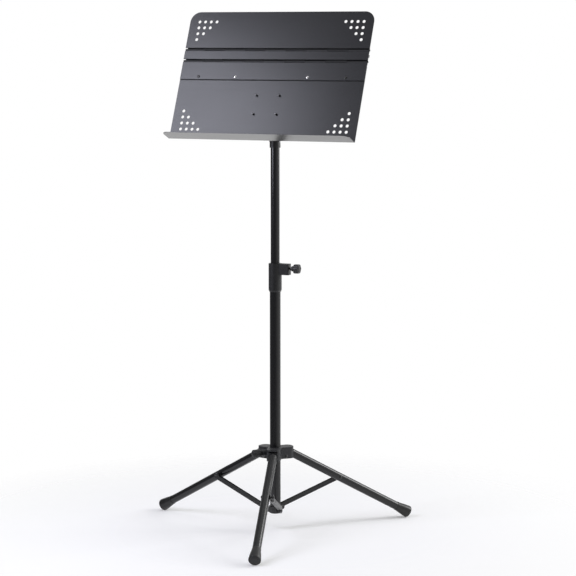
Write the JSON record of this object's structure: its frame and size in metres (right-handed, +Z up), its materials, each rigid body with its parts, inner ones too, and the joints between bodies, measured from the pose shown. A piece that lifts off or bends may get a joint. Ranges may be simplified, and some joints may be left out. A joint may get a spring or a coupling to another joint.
{
  "type": "music stand",
  "caption": "Folding music stand: sheet-steel desk with a fold-down top and a ledge, on a telescoping mast with a clamp, on a braced folding tripod.",
  "frame": {"origin": "the point of the floor under the mast", "axes": "+Z up along the mast; the reader stands at -Y; +X to the reader's right"},
  "size_m": [0.6003, 0.6111, 1.2247],
  "materials": {
    "powder_coat": "satin dark grey powder coat on sheet steel",
    "tube_paint": "semi-gloss black paint on steel tube",
    "brace_paint": "satin black paint on pressed steel",
    "hub_plastic": "fine-grained dark grey moulded plastic",
    "black_plastic": "black moulded plastic",
    "knob_plastic": "textured black plastic",
    "rubber": "black rubber, slightly dusty",
    "bright_steel": "polished nickel plate",
    "black_steel": "black oxide on steel, slightly glossy",
    "zinc": "zinc-plated steel"
  },
  "bodies": {
    "mast": {"lower_tube": "tube_paint", "tube_plug": "black_plastic", "lower_bracket": "tube_paint", "lower_pins": "black_steel", "height_clamp": "black_plastic", "clamp_liner": "black_plastic", "clamp_nut": "black_steel"},
    "clamp_shoe": {"clamp_shoe": "black_plastic"},
    "clamp_knob": {"clamp_screw": "black_steel", "clamp_knob": "knob_plastic"},
    "guide_bush": {"guide_bush": "black_plastic"},
    "upper_mast": {"upper_tube": "tube_paint", "tilt_head": "black_plastic", "head_pin": "zinc"},
    "desk": {"lower_panel": "powder_coat", "hinge_strip": "powder_coat", "lower_hinge_rod": "zinc", "inner_rivets": "bright_steel", "outer_rivets": "black_steel", "desk_screws": "black_steel", "desk_nuts": "zinc", "desk_bracket": "powder_coat", "tilt_bolt": "zinc", "tilt_washers": "black_plastic"},
    "tilt_knob": {"tilt_knob": "knob_plastic"},
    "hinge_band": {"hinge_band": "powder_coat", "upper_hinge_rod": "zinc"},
    "upper_panel": {"upper_panel": "powder_coat"},
    "front_brace": {"front_brace": "brace_paint"},
    "front_leg": {"front_leg": "tube_paint", "front_leg_end": "hub_plastic", "front_foot": "rubber", "front_brace_rivet": "black_steel"},
    "hub": {"hub": "hub_plastic", "hub_pins": "black_steel", "hub_nut": "black_steel"},
    "hub_shoe": {"hub_shoe": "black_plastic"},
    "hub_knob": {"hub_screw": "black_steel", "hub_knob": "knob_plastic"},
    "right_leg": {"right_leg": "tube_paint", "right_leg_end": "hub_plastic", "right_foot": "rubber", "right_brace_rivet": "black_steel"},
    "left_leg": {"left_leg": "tube_paint", "left_leg_end": "hub_plastic", "left_foot": "rubber", "left_brace_rivet": "black_steel"},
    "right_brace": {"right_brace": "brace_paint"},
    "left_brace": {"left_brace": "brace_paint"}
  },
  "joints": [
    {"name": "tripod_fold", "type": "hinge", "parent": "mast", "child": "front_brace", "pos_m": [0.00643, -0.02104, 0.05119], "axis": [-0.9563, -0.2924, 0], "range_deg": [0, 60]},
    {"name": "front_leg_hinge", "type": "hinge", "parent": "front_brace", "child": "front_leg", "pos_m": [0.04862, -0.15903, 0.11471], "axis": [-0.9563, -0.2924, 0], "range_deg": [-120, 0]},
    {"name": "hub_hinge", "type": "hinge", "parent": "front_leg", "child": "hub", "pos_m": [0.00643, -0.02104, 0.17823], "axis": [-0.9563, -0.2924, 0], "range_deg": [0, 60]},
    {"name": "right_leg_hinge", "type": "hinge", "parent": "hub", "child": "right_leg", "pos_m": [0.015, 0.01609, 0.17823], "axis": [0.7314, -0.682, 0], "range_deg": [-60, 0]},
    {"name": "left_leg_hinge", "type": "hinge", "parent": "hub", "child": "left_leg", "pos_m": [-0.02144, 0.00495, 0.17823], "axis": [0.225, 0.9744, 0], "range_deg": [-60, 0]},
    {"name": "right_brace_hinge", "type": "hinge", "parent": "right_leg", "child": "right_brace", "pos_m": [0.11341, 0.12162, 0.11471], "axis": [0.7314, -0.682, 0], "range_deg": [0, 120]},
    {"name": "left_brace_hinge", "type": "hinge", "parent": "left_leg", "child": "left_brace", "pos_m": [-0.16203, 0.03741, 0.11471], "axis": [0.225, 0.9744, 0], "range_deg": [0, 120]},
    {"name": "hub_shoe_slide", "type": "slide", "parent": "hub", "child": "hub_shoe", "axis": [-0.682, -0.7314, 0], "range_m": [0, 0.002]},
    {"name": "hub_knob_turn", "type": "hinge", "parent": "hub_shoe", "child": "hub_knob", "pos_m": [-0.02046, -0.02194, 0.18803], "axis": [-0.682, -0.7314, 0], "range_deg": [0, 720]},
    {"name": "height_slide", "type": "slide", "parent": "mast", "child": "guide_bush", "axis": [0, 0, 1], "range_m": [-0.26, 0.13]},
    {"name": "mast_swivel", "type": "hinge", "parent": "guide_bush", "child": "upper_mast", "pos_m": [0, 0, 0.405], "axis": [0, 0, 1], "continuous": true},
    {"name": "desk_tilt", "type": "hinge", "parent": "upper_mast", "child": "desk", "pos_m": [0, 0, 0.99], "axis": [1, 0, 0], "range_deg": [-65, 25]},
    {"name": "tilt_knob_turn", "type": "hinge", "parent": "desk", "child": "tilt_knob", "pos_m": [0.024, 0, 0.99], "axis": [1, 0, 0], "range_deg": [-360, 360]},
    {"name": "lower_desk_fold", "type": "hinge", "parent": "desk", "child": "hinge_band", "pos_m": [0, -0.00437, 1.10972], "axis": [1, 0, 0], "range_deg": [0, 90]},
    {"name": "upper_desk_fold", "type": "hinge", "parent": "hinge_band", "child": "upper_panel", "pos_m": [0, 0.00665, 1.13568], "axis": [1, 0, 0], "range_deg": [0, 90]},
    {"name": "clamp_shoe_slide", "type": "slide", "parent": "mast", "child": "clamp_shoe", "axis": [1, 0, 0], "range_m": [0, 0.002]},
    {"name": "clamp_knob_turn", "type": "hinge", "parent": "clamp_shoe", "child": "clamp_knob", "pos_m": [0.03, 0, 0.6275], "axis": [1, 0, 0], "range_deg": [0, 720]}
  ],
  "couplings": [
    {"joint": "front_leg_hinge", "follows": "tripod_fold", "ratio": -2},
    {"joint": "hub_hinge", "follows": "tripod_fold", "ratio": 1},
    {"joint": "right_leg_hinge", "follows": "tripod_fold", "ratio": -1},
    {"joint": "left_leg_hinge", "follows": "tripod_fold", "ratio": -1},
    {"joint": "right_brace_hinge", "follows": "tripod_fold", "ratio": 2},
    {"joint": "left_brace_hinge", "follows": "tripod_fold", "ratio": 2},
    {"joint": "hub_shoe_slide", "follows": "hub_knob_turn", "m_per_rad": 0.000159},
    {"joint": "clamp_shoe_slide", "follows": "clamp_knob_turn", "m_per_rad": 0.000159}
  ]
}
